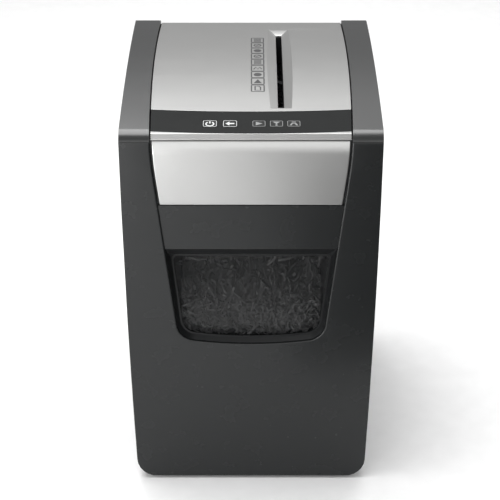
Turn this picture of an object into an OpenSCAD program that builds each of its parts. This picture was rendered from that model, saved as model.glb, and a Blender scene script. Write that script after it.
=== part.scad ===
// Paper shredder with a pull-out bin, a crowned top and a feed slot that runs front to back.
// Origin: on the floor, under the middle of the casing. +X is the right side, -Y the front, +Z up.

/* [Casing] */
// Width of the casing at the top
body_w = 300; // [290:1:310]
// Depth of the casing
body_d = 350; // [346:1:356]
// Height of the top's front and rear edges above the floor
edge_h = 478; // [474:1:484]
// Rise of the crowned top above those edges
crown_rise = 10; // [8:1:12]
// How much narrower each side is at the floor than at the top
side_taper = 8.4; // [4:0.2:10]
// Radius of the lower corners, seen from the front
corner_r = 26; // [20:1:30]
// Radius of the bend from the side rails to the front
bend_r = 14.5; // [12:0.5:18]
// Wall thickness of the casing shells
wall = 3; // [2.4:0.2:3.4]

/* [Front] */
// How far the side rails stand proud of the centre
proud = 3; // [2:0.5:4]
// Top of the pull-out bin's front
drawer_top_z = 468.5; // [466:0.5:470]
// Lower edge of the silver fascia
fascia_bottom_z = 386.5; // [380:0.5:396]
// Ledge over the window recess
ledge_z = 329; // [324:1:334]
// Lowest point of the window recess
recess_bottom_z = 199.5; // [196:0.5:204]

/* [Feed] */
// Length of the feed slot
slot_len = 226; // [222:1:228]
// Width of the feed slot
slot_w = 7.2; // [6:0.2:8]
// Middle of the feed slot, to the right of the centre
slot_x = 35; // [33:1:37]

/* [Cutters] */
// Radius of a cutter disc
disc_r = 19; // [18.5:0.1:19.4]
// Thickness of a cutter disc
disc_w = 4.6; // [4:0.1:4.8]
// Spacing of the discs along one shaft
disc_pitch = 11.2; // [11:0.1:11.2]
// Number of discs on each shaft
disc_count = 20; // [10:1:20]
// Number of teeth around one disc
disc_teeth = 9; // [6:1:12]

/* [Travel] */
// Travel of the power and reverse buttons
button_travel = 0.8; // [0.4:0.1:1]

/* [Hidden] */

charcoal = [0.24, 0.25, 0.25];
silver = [0.72, 0.72, 0.71];
black = [0.07, 0.07, 0.075];
steel = [0.62, 0.63, 0.65];
brass = [0.72, 0.58, 0.3];
nylon = [0.86, 0.85, 0.8];
board_green = [0.1, 0.32, 0.2];
paper = [0.9, 0.9, 0.88];
smoke = [0.12, 0.12, 0.13, 0.5];

big = 600;
eps = 0.01;
front_y = -body_d / 2;
rear_y = body_d / 2;
foot_h = 3;

// The crown is an arc through the front and rear edges
crown_r = (pow(rear_y, 2) + pow(crown_rise, 2)) / (2 * crown_rise);
crown_cz = edge_h + crown_rise - crown_r;
rear_bend_r = 6;
crown_steps = 16;
bend_steps = 7;

// Seams of the pull-out bin's front
seam_gap = 1.2;
rail_seam = 0.4;
drawer_back_y = front_y + 22.5;
drawer_bottom_z = foot_h + 1;
head_z = drawer_top_z + seam_gap;

// Side rails' inner edge on the top, bowed outwards
insert_half = 119.3;
insert_bow = 4.5;
bow_y = 30;
bow_span = 200;
rail_flange_t = 2.5;
rail_flange_z = edge_h - 14;

// Side rails' inner edge on the front: a slanted line that an arc turns upright
draft = 6.56;
draft_arc_r = 480;
draft_arc_z = edge_h - 55;
draft_arc_x = 111.6;
insert_corner_r = 24;
insert_bottom_r = 514;

// Casing pieces
side_split_x = 100;
panel_gap = 0.3;
tab_len = 20;
tab_x = 93;
tab_x0 = 86;
back_tab_x1 = 135;
base_tab_x1 = 112;
rail_base_z = 250;
back_rim_z = edge_h - 6;
side_wall_z = 300;
back_tabs_z = [60, 250, 430];
base_tabs_y = [-125, 0, 140];
screw_r = 1.75;
screw_head_r = 3.6;
screw_head_h = 1.8;
screw_clear = 0.05;
foot_r = 9;
foot_x = 78;
foot_y = [-132, 150];
glide_x = 55;
glide_w = 14;
vent_x = 50;
vent_half = 30;
vent_z = 380;
vent_step = 9;
vent_w = 4;
vent_rows = 8;
gland_x = -70;
gland_z = 346;
gland_r = 8;
gland_flange_r = 11;
gland_flange_t = 3;
gland_len = 14;
gland_bore_r = 3.75;

// Control strip
strip_t = 1.6;
strip_rear_y = front_y + 62.7;
strip_front_y = front_y + 12.7;
strip_bow = 5;
panel_t = 3.2;
crown_bend = 6.5;
control_y = front_y + 29.5;
power_x = -47;
reverse_x = -24;
lens_x = [9, 29, 48.8];
key_w = 16;
key_d = 14;
key_gap = 0.35;
lens_w = 15;
lens_d = 13;
lens_gap = 0.05;
board_z = 462;
board_t = 1.6;
tact_h = 3.5;
tact_pin_h = 0.5;
key_bottom_z = board_z + board_t + tact_h + tact_pin_h + button_travel + 0.5;
key_rim = 1.5;
key_rim_z = edge_h - 8;
key_rim_t = 1.4;
key_stem = 2.5;
tact_half = 3;
tact_pin_r = 1.6;
led_r = 1.5;
led_base_r = 2;
led_h = 3;
board_half = 72;
board_d = 30;

// Feed funnel and throat
slot_y0 = front_y + 76;
slot_y1 = slot_y0 + slot_len;
rim_y0 = slot_y0 - 12;
rim_y1 = slot_y1 + 13;
rim_half_end = 12.3;
rim_half_mid = 15.3;
rim_steps = 12;
rim_slope = 30;
collar_t = 8;
throat_x0 = slot_x - 12.5;
throat_x1 = slot_x + 12.5;
throat_z0 = 436;
throat_end = 1.5;

// Paper sensor
flap_y = 17;
flap_w = 8;
flap_x = slot_x - 11;
flap_z = 461;
flap_tip = [16.5, -6];
flap_tail = [-13, 3];
flap_arm_t = 2.4;
flap_hub_r = 3.4;
flap_pin_r = 1.5;
flap_pin_len = 38;
flap_room = [8, 5, 14];
coil_r = 2.4;
coil_wire_r = 0.35;
coil_step = 0.8;
coil_turns = 4;
opto_x = [-14, -12];
opto_y = [-9, -5, 8.8, 10.5];
opto_z = [-6, -4, 4];

// Cutters
shaft_gap = 32;
left_x = slot_x - shaft_gap / 2;
right_x = slot_x + shaft_gap / 2;
cutter_z = 415;
hex_r = 8;
journal_r = 6;
hex_play = 0.5;
fit = 0.05;
first_disc_y = front_y + 81;
plate_t = 3;
front_plate_y = front_y + 71;
rear_plate_y = 131;
plate_z1 = 452;
plate_x = [-30, 100];
rear_plate_x0 = -128;
pinion_hole_r = 8;
tray_z = 328;
tray_t = 3;
tray_mouth = 24;
plate_z0 = tray_z + tray_t;
rod_r = 4;
rod_x = [-18, 88];
rod_z = [350, 440];
rod_screw_r = 2;
bush_r = 9;
bush_flange_r = 11;
bush_flange_t = 1.5;
finger_gap = 0.6;

// Power board on its four posts, and the parts on it: a capacitor, a relay, a transformer and a connector
board_x = [-125, -55];
board_y = [-121, -59];
board_rim = 7;
board_lift = 6;
parts_z = plate_z0 + board_lift + board_t;
capacitor = [-115, -75, 9, 28];
relay = [[-100, -78], [-90, -70], 16];
transformer = [[-125, -90], [-122, -98], 24];
connector = [[-72, -56], [-118, -84], 12];

// Gear train, from the left cutter shaft to the motor
pressure = 25;
sync_teeth = 20;
sync_m = shaft_gap / sync_teeth;
final_teeth = 36;
final_m = 2;
pinion_teeth = 14;
wheel_teeth = 60;
wheel_m = 1;
final_dist = (final_teeth + pinion_teeth) * final_m / 2;
wheel_dist = (wheel_teeth + pinion_teeth) * wheel_m / 2;
middle_at = [left_x - final_dist, cutter_z];
first_dir = 215;
first_at = middle_at + wheel_dist * [cos(first_dir), sin(first_dir)];
motor_dir = 145;
motor_at = first_at + wheel_dist * [cos(motor_dir), sin(motor_dir)];
sync_y = 136;
sync_w = 7;
final_y = 144.5;
final_w = 7;
middle_y = 153;
middle_w = 5;
first_y = 160;
first_w = 4.5;
pin_r = 3;
pin_shoulder = 2;
pin_end = 0.5;
left_phase = 0;
right_phase = mesh_phase(left_phase, sync_teeth, 0, sync_teeth);
middle_phase = mesh_phase(left_phase, final_teeth, 180, pinion_teeth);
first_phase = mesh_phase(middle_phase, wheel_teeth, first_dir, pinion_teeth);
motor_phase = mesh_phase(first_phase, wheel_teeth, motor_dir, pinion_teeth);

// Motor
motor_r = 30;
motor_wall = 2.5;
motor_y0 = 50;
motor_shaft_r = 2.5;
rotor_r = 24;
fan_hub_r = 7;
fan_w = 10;
fan_blades = 9;
blade_t = 1.6;
motor_bolt = 20;
cap_t = 4;
cap_boss_r = 8;
rotor_y = motor_y0 + 12;
rotor_w = 52;
shaft_end = 20;

// Window: its pane leans back at the top
pane_lean = 5;
pane_t = 2.5;
pane_top_z = 311.5;
pane_bottom_z = 203;
pane_mid_z = (pane_top_z + pane_bottom_z) / 2;
pane_mid_y = front_y + 13.5;
pane_flange = 3;
pane_rim = 2.5;
pane_set = 2;
pane_corner_r = 5;
pane_inset = 6.2;
front_t = 9;
frame_gap = 0.1;
boss_half = 108;
boss_z0 = 188;
boss_z1 = 334;
boss_depth = 24.5;
boss_back_y = front_y + boss_depth;
fascia_t = 2.5;
fascia_gap = 2.2;
fascia_seat = 0.6;

// Bin
tub_inset = 9;
tub_wall = 2.5;
tub_top_z = 320;
tub_back_y = 163;
reed_x = [118, 136];
reed_y = [drawer_back_y + 7.5, drawer_back_y + 14];
reed_z = [340, 350];
magnet_r = 5;
magnet_t = 4;
tub_screw_at = [[-103, 300], [103, 300], [-100, 206], [100, 206]];
pile_top_z = 296;
crust_t = 3;
tub_mouth = [92, 200];
pile_mouth = [88, 203];
pile_gap = 4;
pile_hollow = [60, 100, 60];

// ---------- Outlines ----------

function half_w(z) = body_w / 2 - side_taper * pow(max(0, edge_h - z) / (edge_h - foot_h), 2);

// Half of the casing's front outline, inset by t
function side_points(t) =
    let (cz = foot_h + corner_r, cx = half_w(cz) - corner_r, top = edge_h + 22)
    concat(
        [for (i = [0 : 6]) let (a = -90 + 15 * i)
            [cx + (corner_r - t) * cos(a), cz + (corner_r - t) * sin(a)]],
        [for (i = [1 : 12]) let (z = cz + (top - cz) * i / 12) [half_w(z) - t, z]]
    );

function mirrored(points) = [for (i = [len(points) - 1 : -1 : 0]) [-points[i][0], points[i][1]]];

module front_outline(t) {
    polygon(concat(side_points(t), mirrored(side_points(t))));
}

// A fillet of radius r in the corner of the crown and an upright face, both inset by t:
// its centre's height, and the angle at which it meets the crown
function fillet_z(t, r) = crown_cz + sqrt(pow(crown_r - t - r, 2) - pow(rear_y - t - r, 2));
function fillet_a(t, r) = atan2(fillet_z(t, r) - crown_cz, -(rear_y - t - r));

// The casing seen from the side, inset by t, with a front bend of radius b before the inset, in n steps
module side_outline(t, b, n) {
    rf = max(0.5, b - t);
    rr = max(0.5, rear_bend_r - t);
    af = fillet_a(t, rf);
    ar = 180 - fillet_a(t, rr);
    polygon(concat(
        [[front_y + t, foot_h + t]],
        [for (i = [0 : n]) let (a = 180 + (af - 180) * i / n)
            [front_y + t + rf + rf * cos(a), fillet_z(t, rf) + rf * sin(a)]],
        [for (i = [1 : crown_steps - 1]) let (a = af + (ar - af) * i / crown_steps)
            [(crown_r - t) * cos(a), crown_cz + (crown_r - t) * sin(a)]],
        [for (i = [0 : 4]) let (a = ar - ar * i / 4)
            [rear_y - t - rr + rr * cos(a), fillet_z(t, rr) + rr * sin(a)]],
        [[rear_y - t, foot_h + t]]
    ));
}

// Height of the crowned surface at y, inset by t
function crown_top(y, t) = crown_cz + sqrt(pow(crown_r - t, 2) - pow(y, 2));

module along_y(y0, y1) {
    translate([0, y1, 0]) rotate([90, 0, 0]) linear_extrude(y1 - y0) children();
}

module along_x(x0, x1) {
    translate([x0, 0, 0]) rotate([90, 0, 90]) linear_extrude(x1 - x0) children();
}

module box(x, y, z) {
    translate([x[0], y[0], z[0]]) cube([x[1] - x[0], y[1] - y[0], z[1] - z[0]]);
}

module envelope(t) {
    intersection() {
        along_y(front_y + t, rear_y - t) front_outline(t);
        along_x(-big / 2, big / 2) side_outline(t, bend_r, bend_steps);
    }
}

module casing_shell() {
    difference() {
        envelope(0);
        envelope(wall);
    }
}

// Centre of the top in plan, grown by g
function plan_half(y) = insert_half - insert_bow * pow((y - bow_y) / bow_span, 2);

module insert_plan(g) {
    n = 14;
    right = [for (i = [0 : n]) let (y = front_y - 5 + (body_d + 10) * i / n) [plan_half(y) + g, y]];
    polygon(concat(right, mirrored(right)));
}

// Centre of the front, inside the side rails
function insert_side_points() =
    let (n = 5)
    concat(
        [[draft_arc_x - tan(draft) * draft_arc_z, 0]],
        [for (i = [0 : n]) let (a = draft * (1 - i / n))
            [draft_arc_x + draft_arc_r * (cos(a) - cos(draft)),
             draft_arc_z + draft_arc_r * (sin(draft) - sin(a))]],
        [[draft_arc_x + draft_arc_r * (1 - cos(draft)), edge_h + 80]]
    );

module insert_outline(g) {
    offset(delta = g) offset(r = insert_corner_r, $fn = 48) offset(delta = -insert_corner_r)
        intersection() {
            polygon(concat(insert_side_points(), mirrored(insert_side_points())));
            translate([0, recess_bottom_z + insert_bottom_r]) circle(insert_bottom_r, $fn = 180);
        }
}

// Control strip in plan, grown by g
module strip_plan(g) {
    n = 10;
    w = insert_half + g;
    polygon(concat(
        [for (i = [-n : n]) let (u = i / n) [w * u, strip_front_y - g - strip_bow * (1 - u * u)]],
        [for (i = [n : -1 : -n]) let (u = i / n) [w * u, strip_rear_y + g - strip_bow * (1 - u * u)]]
    ));
}

// A layer that follows the crowned centre, and the flat lip at its front, from depth a to depth b
module crown_layer(a, b) {
    along_x(-big / 2, big / 2) difference() {
        side_outline(proud + a, bend_r - crown_bend, 1);
        side_outline(proud + b, bend_r - crown_bend, 1);
    }
}

// ---------- Fasteners ----------

// A countersunk screw that points along -Z from its head's top
module screw(len, r, head_r, head_h) {
    cylinder(h = head_h, r = head_r, center = false, $fn = 32);
    translate([0, 0, head_h - len]) cylinder(h = len - head_h + eps, r = r, $fn = 32);
}

module along(dir) {
    // dir: the axis that the screw's head faces
    if (dir == "-z") rotate([180, 0, 0]) children();
    if (dir == "+y") rotate([-90, 0, 0]) children();
    if (dir == "-y") rotate([90, 0, 0]) children();
}

module back_screw_set(grow) {
    for (s = [-1, 1], z = back_tabs_z)
        translate([s * tab_x, rear_y - screw_head_h, z]) along("+y")
            screw(8, screw_r + grow, screw_head_r + grow, screw_head_h);
}

module base_screw_set(grow) {
    for (s = [-1, 1], y = base_tabs_y)
        translate([s * tab_x, y, foot_h + screw_head_h]) along("-z")
            screw(6.5, screw_r + grow, screw_head_r + grow, screw_head_h);
}

module tub_screw_set(grow) {
    for (p = tub_screw_at)
        translate([p[0], boss_back_y + tub_wall, p[1]]) along("+y")
            screw(11, screw_r + grow, screw_head_r + grow, screw_head_h);
}

module rod_screw_set(grow) {
    for (x = rod_x, z = rod_z) {
        translate([x, front_plate_y, z]) along("-y")
            screw(13, rod_screw_r + grow, screw_head_r, 2.5);
        translate([x, rear_plate_y + plate_t, z]) along("+y")
            screw(13, rod_screw_r + grow, screw_head_r, 2.5);
    }
}

module motor_screw_set(grow) {
    for (s = [-1, 1])
        translate([motor_at[0] + s * motor_bolt, rear_plate_y + plate_t, motor_at[1]]) along("+y")
            screw(8, rod_screw_r + grow, screw_head_r, 2.5);
}

// ---------- Casing ----------

module right_side_shape() {
    difference() {
        union() {
            intersection() {
                casing_shell();
                union() {
                    box([side_split_x, big], [-big, big], [0, side_wall_z]);
                    box([side_split_x, big], [0, big], [0, back_rim_z]);
                    translate([0, 0, rail_base_z]) linear_extrude(big) difference() {
                        translate([0, -big / 2]) square([big, big]);
                        insert_plan(0);
                    }
                }
            }
            // Return flange along the rail's inner edge
            intersection() {
                envelope(0);
                translate([0, 0, rail_flange_z]) linear_extrude(40) difference() {
                    intersection() {
                        insert_plan(rail_flange_t);
                        translate([0, -big / 2]) square([big, big]);
                    }
                    insert_plan(0);
                }
            }
            // Tabs that the back panel and the base plate are screwed to
            for (z = back_tabs_z)
                box([tab_x0, back_tab_x1], [rear_y - 2 * wall, rear_y - wall],
                    [z - tab_len / 2, z + tab_len / 2]);
            for (y = base_tabs_y)
                box([tab_x0, base_tab_x1], [y - tab_len / 2, y + tab_len / 2],
                    [foot_h + wall, foot_h + 2 * wall]);
        }
        box([0, big], [-big, drawer_back_y + 1], [0, drawer_top_z + rail_seam]);
        back_screw_set(screw_clear);
        base_screw_set(screw_clear);
    }
}

module right_side_panel() {
    color(charcoal) right_side_shape();
}

module left_side_panel() {
    color(charcoal) mirror([1, 0, 0]) right_side_shape();
}

module back_panel() {
    half = side_split_x - panel_gap;
    color(charcoal) difference() {
        intersection() {
            casing_shell();
            box([-half, half], [rear_y - wall, big], [foot_h + wall + panel_gap, back_rim_z - panel_gap]);
        }
        // Cooling slots in front of the motor and over the bin
        for (s = [-1, 1], i = [0 : vent_rows - 1])
            box([s * vent_x - vent_half, s * vent_x + vent_half], [rear_y - 2 * wall, rear_y + wall],
                [vent_z + vent_step * i, vent_z + vent_step * i + vent_w]);
        translate([gland_x, rear_y, gland_z]) rotate([90, 0, 0])
            cylinder(h = 4 * wall, r = gland_r + fit, center = true, $fn = 48);
        back_screw_set(screw_clear);
    }
}

module base_plate() {
    half = side_split_x - panel_gap;
    color(charcoal) difference() {
        box([-half, half], [drawer_back_y + 1, rear_y - panel_gap], [foot_h, foot_h + wall]);
        base_screw_set(screw_clear);
    }
}

module rubber_feet() {
    color(black) for (s = [-1, 1], y = foot_y)
        translate([s * foot_x, y, 0]) difference() {
            cylinder(h = foot_h, r = foot_r, $fn = 48);
            translate([0, 0, -eps]) cylinder(h = 1, r = foot_r / 2, $fn = 48);
        }
}

module drawer_glides() {
    color(nylon) for (s = [-1, 1])
        box([s * glide_x - glide_w / 2, s * glide_x + glide_w / 2], [front_y + 30, rear_y - 12],
            [foot_h + wall, foot_h + tub_inset - panel_gap]);
}

module base_screws() {
    color(steel) base_screw_set(0);
}

module back_screws() {
    color(steel) back_screw_set(0);
}

// ---------- Top ----------

// The funnel's hollow: trapezia strung along the slot, from over the crown down to the slot's edges
module funnel_hollow() {
    n = rim_steps;
    rise = 2;
    out = rise / tan(rim_slope);
    function rim_half(y) = let (u = (2 * y - rim_y0 - rim_y1) / (rim_y1 - rim_y0))
        rim_half_mid - (rim_half_mid - rim_half_end) * u * u;
    function edge_z(y) = crown_top(y, proud) - (rim_half(y) - slot_w / 2) * tan(rim_slope);
    points = [for (i = [0 : n])
        let (
            u = i / n,
            y_top = rim_y0 - out + (rim_y1 - rim_y0 + 2 * out) * u,
            y_low = slot_y0 + slot_len * u,
            z_top = crown_top(y_top, proud) + rise,
            w = rim_half(y_top) + out)
        each [[-w, y_top, z_top], [w, y_top, z_top],
              [slot_w / 2, y_low, edge_z(y_low)], [-slot_w / 2, y_low, edge_z(y_low)]]];
    walls = [for (i = [0 : n - 1], k = [0 : 3])
        let (a = 4 * i + k, b = 4 * i + (k + 1) % 4)
        each [[a, a + 4, b + 4], [a, b + 4, b]]];
    ends = [[0, 1, 2, 3], [4 * n + 3, 4 * n + 2, 4 * n + 1, 4 * n]];
    translate([slot_x, 0, 0]) polyhedron(points = points, faces = concat(walls, ends), convexity = 4);
}

module slot_prism(z0, z1, grow) {
    box([slot_x - slot_w / 2 - grow, slot_x + slot_w / 2 + grow], [slot_y0 - grow, slot_y1 + grow], [z0, z1]);
}

module key_prism(x, w, d, z0) {
    box([x - w / 2, x + w / 2], [control_y - d / 2, control_y + d / 2], [z0, edge_h + 20]);
}

module control_holes() {
    for (x = [power_x, reverse_x])
        key_prism(x, key_w + 2 * key_gap, key_d + 2 * key_gap, board_z);
    for (x = lens_x)
        key_prism(x, lens_w + 2 * lens_gap, lens_d + 2 * lens_gap, board_z);
}

module top_panel() {
    color(silver) difference() {
        intersection() {
            union() {
                crown_layer(0, panel_t);
                intersection() {
                    crown_layer(0, collar_t);
                    box([slot_x - rim_half_mid - 4, slot_x + rim_half_mid + 4],
                        [rim_y0 - 4, rim_y1 + 4], [450, edge_h + 20]);
                }
            }
            translate([0, 0, head_z]) linear_extrude(60) insert_plan(-seam_gap);
        }
        intersection() {
            crown_layer(-1, strip_t);
            translate([0, 0, board_z]) linear_extrude(60) strip_plan(0);
        }
        funnel_hollow();
        slot_prism(440, edge_h + 20, 0);
        control_holes();
    }
}

module control_strip() {
    color(charcoal) difference() {
        intersection() {
            crown_layer(0, strip_t);
            translate([0, 0, board_z]) linear_extrude(60) intersection() {
                strip_plan(-panel_gap);
                insert_plan(-seam_gap);
            }
        }
        control_holes();
    }
}

module push_key(x) {
    intersection() {
        key_prism(x, key_w, key_d, key_rim_z - 1);
        crown_layer(0, 20);
    }
    box([x - key_w / 2 - key_rim, x + key_w / 2 + key_rim],
        [control_y - key_d / 2 - key_rim, control_y + key_d / 2 + key_rim],
        [key_rim_z, key_rim_z + key_rim_t]);
    box([x - key_stem, x + key_stem], [control_y - key_stem, control_y + key_stem],
        [key_bottom_z, key_rim_z]);
}

module power_button() {
    color(charcoal) push_key(power_x);
}

module reverse_button() {
    color(charcoal) push_key(reverse_x);
}

module indicator_lenses() {
    color(smoke) for (x = lens_x) intersection() {
        key_prism(x, lens_w, lens_d, key_rim_z);
        crown_layer(0, 20);
    }
}

module control_board() {
    color(board_green) box([-board_half, board_half], [drawer_back_y + 2, drawer_back_y + 2 + board_d],
        [board_z, board_z + board_t]);
}

module tact_switches() {
    color(black) for (x = [power_x, reverse_x]) {
        box([x - tact_half, x + tact_half], [control_y - tact_half, control_y + tact_half],
            [board_z + board_t, board_z + board_t + tact_h]);
        translate([x, control_y, board_z + board_t])
            cylinder(h = tact_h + tact_pin_h, r = tact_pin_r, $fn = 32);
    }
}

module indicator_leds() {
    color(nylon) for (x = lens_x) translate([x, control_y, board_z + board_t]) {
        cylinder(h = led_h, r = led_r, $fn = 32);
        cylinder(h = led_h / 4, r = led_base_r, $fn = 32);
    }
}

// ---------- Feed throat and paper sensor ----------

module throat_guide() {
    color(black) difference() {
        intersection() {
            box([throat_x0, throat_x1], [slot_y0 - throat_end, slot_y1 + throat_end],
                [throat_z0, edge_h + 20]);
            along_x(-big / 2, big / 2)
                side_outline(proud + collar_t + eps, bend_r - crown_bend, 1);
        }
        slot_prism(throat_z0 - 1, edge_h + 20, 0);
        // Room for the sensor flap, its tail and its pin
        box([throat_x0 - 1, slot_x + flap_room[0]],
            [flap_y - flap_w / 2 - 1, flap_y + flap_w / 2 + flap_room[1]],
            [throat_z0 - 1, flap_z + flap_room[2]]);
        translate([flap_x, flap_y, flap_z]) rotate([90, 0, 0])
            cylinder(h = flap_pin_len + 2, r = flap_pin_r + fit, center = true, $fn = 32);
    }
}

module sensor_flap() {
    color(black) translate([flap_x, flap_y + flap_w / 2, flap_z]) rotate([90, 0, 0])
        linear_extrude(flap_w) difference() {
            union() {
                circle(flap_hub_r, $fn = 40);
                for (p = [flap_tip, flap_tail])
                    rotate(atan2(p[1], p[0])) translate([flap_hub_r - 1, -flap_arm_t / 2])
                        square([norm(p) - flap_hub_r + 1, flap_arm_t]);
            }
            circle(flap_pin_r + fit, $fn = 40);
        }
}

module sensor_pin() {
    color(steel) translate([flap_x, flap_y, flap_z]) rotate([90, 0, 0])
        cylinder(h = flap_pin_len, r = flap_pin_r, center = true, $fn = 32);
}

module flap_spring() {
    color(steel) for (i = [0 : coil_turns - 1])
        translate([flap_x, flap_y + flap_w / 2 + 1 + coil_step * i, flap_z]) rotate([90, 0, 0])
            rotate_extrude($fn = 32) translate([coil_r, 0]) circle(coil_wire_r, $fn = 16);
}

module sensor_opto() {
    color(black) difference() {
        box([throat_x0 + opto_x[0], throat_x0 - eps], [flap_y + opto_y[0], flap_y + opto_y[3]],
            [flap_z + opto_z[0], flap_z + opto_z[2]]);
        box([throat_x0 + opto_x[1], throat_x0 + 1], [flap_y + opto_y[1], flap_y + opto_y[2]],
            [flap_z + opto_z[1], flap_z + opto_z[2] + 1]);
    }
}

// ---------- Cutting head ----------

module head_tray() {
    color(black) difference() {
        intersection() {
            envelope(wall);
            union() {
                box([-big, big], [drawer_back_y + 4.5, big], [tray_z, plate_z0]);
                box([-big, big], [drawer_back_y + 4.5, drawer_back_y + 7.5], [tray_z, board_z]);
                for (x = board_x, y = board_y)
                    translate([x, y, plate_z0]) cylinder(h = board_lift, r = 3, $fn = 32);
            }
        }
        // Mouth under the cutters
        box([left_x - tray_mouth, right_x + tray_mouth], [front_plate_y + plate_t + 3, rear_plate_y - 1],
            [tray_z - 1, plate_z0 + 1]);
    }
}

module cutter_holes(y, r) {
    for (x = [left_x, right_x]) translate([x, y, cutter_z]) rotate([90, 0, 0])
        cylinder(h = 20, r = r, center = true, $fn = 64);
}

module front_chassis_plate() {
    color(steel) difference() {
        box(plate_x, [front_plate_y, front_plate_y + plate_t], [plate_z0, plate_z1]);
        cutter_holes(front_plate_y, bush_r);
        rod_screw_set(fit);
    }
}

module rear_chassis_plate() {
    color(steel) difference() {
        box([rear_plate_x0, plate_x[1]], [rear_plate_y, rear_plate_y + plate_t], [plate_z0, plate_z1]);
        cutter_holes(rear_plate_y, bush_r);
        rod_screw_set(fit);
        motor_screw_set(fit);
        for (p = [middle_at, first_at]) translate([p[0], rear_plate_y, p[1]]) rotate([90, 0, 0])
            cylinder(h = 20, r = pin_r, center = true, $fn = 48);
        translate([motor_at[0], rear_plate_y, motor_at[1]]) rotate([90, 0, 0])
            cylinder(h = 20, r = pinion_hole_r, center = true, $fn = 48);
    }
}

module tie_rods() {
    color(steel) difference() {
        for (x = rod_x, z = rod_z) translate([x, rear_plate_y, z]) rotate([90, 0, 0])
            cylinder(h = rear_plate_y - front_plate_y - plate_t, r = rod_r, $fn = 48);
        rod_screw_set(fit);
    }
}

module tie_rod_screws() {
    color(steel) rod_screw_set(0);
}

module shaft_bushes() {
    color(brass) for (x = [left_x, right_x]) {
        translate([x, front_plate_y, cutter_z]) rotate([-90, 0, 0]) bush();
        translate([x, rear_plate_y + plate_t, cutter_z]) rotate([90, 0, 0]) bush();
    }
}

// A flanged bush that fills its plate's hole, with the flange inside
module bush() {
    difference() {
        union() {
            cylinder(h = plate_t + bush_flange_t, r = bush_r, $fn = 64);
            translate([0, 0, plate_t]) cylinder(h = bush_flange_t, r = bush_flange_r, $fn = 64);
        }
        translate([0, 0, -1]) cylinder(h = 10, r = journal_r + fit, $fn = 64);
    }
}

module cutter_shaft(x, end_y) {
    y0 = front_plate_y - 6;
    translate([x, end_y, cutter_z]) rotate([90, 0, 0]) cylinder(h = end_y - y0, r = journal_r, $fn = 64);
    hex_y0 = front_plate_y + plate_t + bush_flange_t + hex_play;
    hex_y1 = rear_plate_y - bush_flange_t - hex_play;
    translate([x, hex_y1, cutter_z]) rotate([90, 0, 0]) cylinder(h = hex_y1 - hex_y0, r = hex_r, $fn = 6);
}

module left_cutter_shaft() {
    color(steel) cutter_shaft(left_x, final_y + final_w + 1);
}

module right_cutter_shaft() {
    color(steel) cutter_shaft(right_x, sync_y + sync_w + 1);
}

// One toothed disc: each tooth has a hooked face and a notch in front of it
module disc_outline() {
    step = 360 / disc_teeth;
    notch_r = disc_r - 3;
    land_r = disc_r - 0.8;
    // One tooth as radii and shares of a step
    tooth = [[disc_r, 0], [notch_r, 0.05], [notch_r, 0.2], [land_r, 0.4], [land_r, 0.7]];
    polygon([for (i = [0 : disc_teeth - 1], p = tooth)
        let (a = step * (i + p[1])) [p[0] * cos(a), p[0] * sin(a)]]);
}

module cutter_discs(x, y0) {
    for (i = [0 : disc_count - 1])
        translate([x, y0 + disc_pitch * i + disc_w, cutter_z]) rotate([90, 0, 0]) {
            difference() {
                linear_extrude(disc_w) disc_outline();
                translate([0, 0, -1]) cylinder(h = disc_w + 2, r = hex_r + fit, $fn = 6);
            }
        }
}

module left_cutter_discs() {
    color(steel) cutter_discs(left_x, first_disc_y);
}

module right_cutter_discs() {
    color(steel) mirror([1, 0, 0]) cutter_discs(-right_x, first_disc_y + disc_pitch / 2);
}

// A comb whose fingers reach between the discs from outside
module stripper(y0) {
    spine_x = left_x - disc_r - 1.2;
    box([spine_x - 8, spine_x], [front_plate_y + plate_t, rear_plate_y], [cutter_z - 16, cutter_z + 6]);
    for (i = [0 : disc_count - 2])
        box([spine_x - 1, left_x - hex_r - 3],
            [y0 + disc_pitch * i + disc_w + finger_gap, y0 + disc_pitch * (i + 1) - finger_gap],
            [cutter_z - 7, cutter_z + 5]);
}

module left_stripper() {
    color(nylon) stripper(first_disc_y);
}

module right_stripper() {
    color(nylon) translate([2 * slot_x, 0, 0]) mirror([1, 0, 0])
        stripper(first_disc_y + disc_pitch / 2);
}

// ---------- Gears ----------

function involute(a) = tan(a) * 180 / PI - a;

// The phase of a wheel in mesh with another: p1 is a tooth of the first, dir points to the second
function mesh_phase(p1, z1, dir, z2) = dir + 180 - ((p1 - dir) * z1 + 180) / z2;

// An involute gear's outline, with one tooth centred on the angle phase
module gear_outline(teeth, m, phase) {
    rp = teeth * m / 2;
    rb = rp * cos(pressure);
    tip = rp + 0.92 * m;
    root = rp - 1.2 * m;
    play = 0.07 * 180 / PI / rp;
    steps = 3;
    function half_a(r) = 90 / teeth - play + involute(pressure) - involute(acos(min(1, rb / r)));
    start = max(rb, root);
    flank = [for (i = [0 : steps]) let (r = start + (tip - start) * i / steps) [r, half_a(r)]];
    polygon([for (k = [0 : teeth - 1], side = [-1, 1], i = [0 : steps + 1])
        let (
            q = side < 0 ? i : steps + 1 - i,
            p = q == 0 ? [root, half_a(start) + 0.2] : flank[q - 1],
            a = phase + 360 * k / teeth + side * p[1])
        [p[0] * cos(a), p[0] * sin(a)]]);
}

module gear(at, y, w, teeth, m, phase, bore) {
    translate([at[0], y + w, at[1]]) rotate([90, 0, 0]) difference() {
        linear_extrude(w) gear_outline(teeth, m, phase);
        translate([0, 0, -1]) cylinder(h = w + 2, r = bore, $fn = 48);
    }
}

module left_sync_gear() {
    color(steel) gear([left_x, cutter_z], sync_y, sync_w, sync_teeth, sync_m, left_phase, journal_r + eps);
}

module right_sync_gear() {
    color(steel) gear([right_x, cutter_z], sync_y, sync_w, sync_teeth, sync_m, right_phase, journal_r + eps);
}

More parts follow.
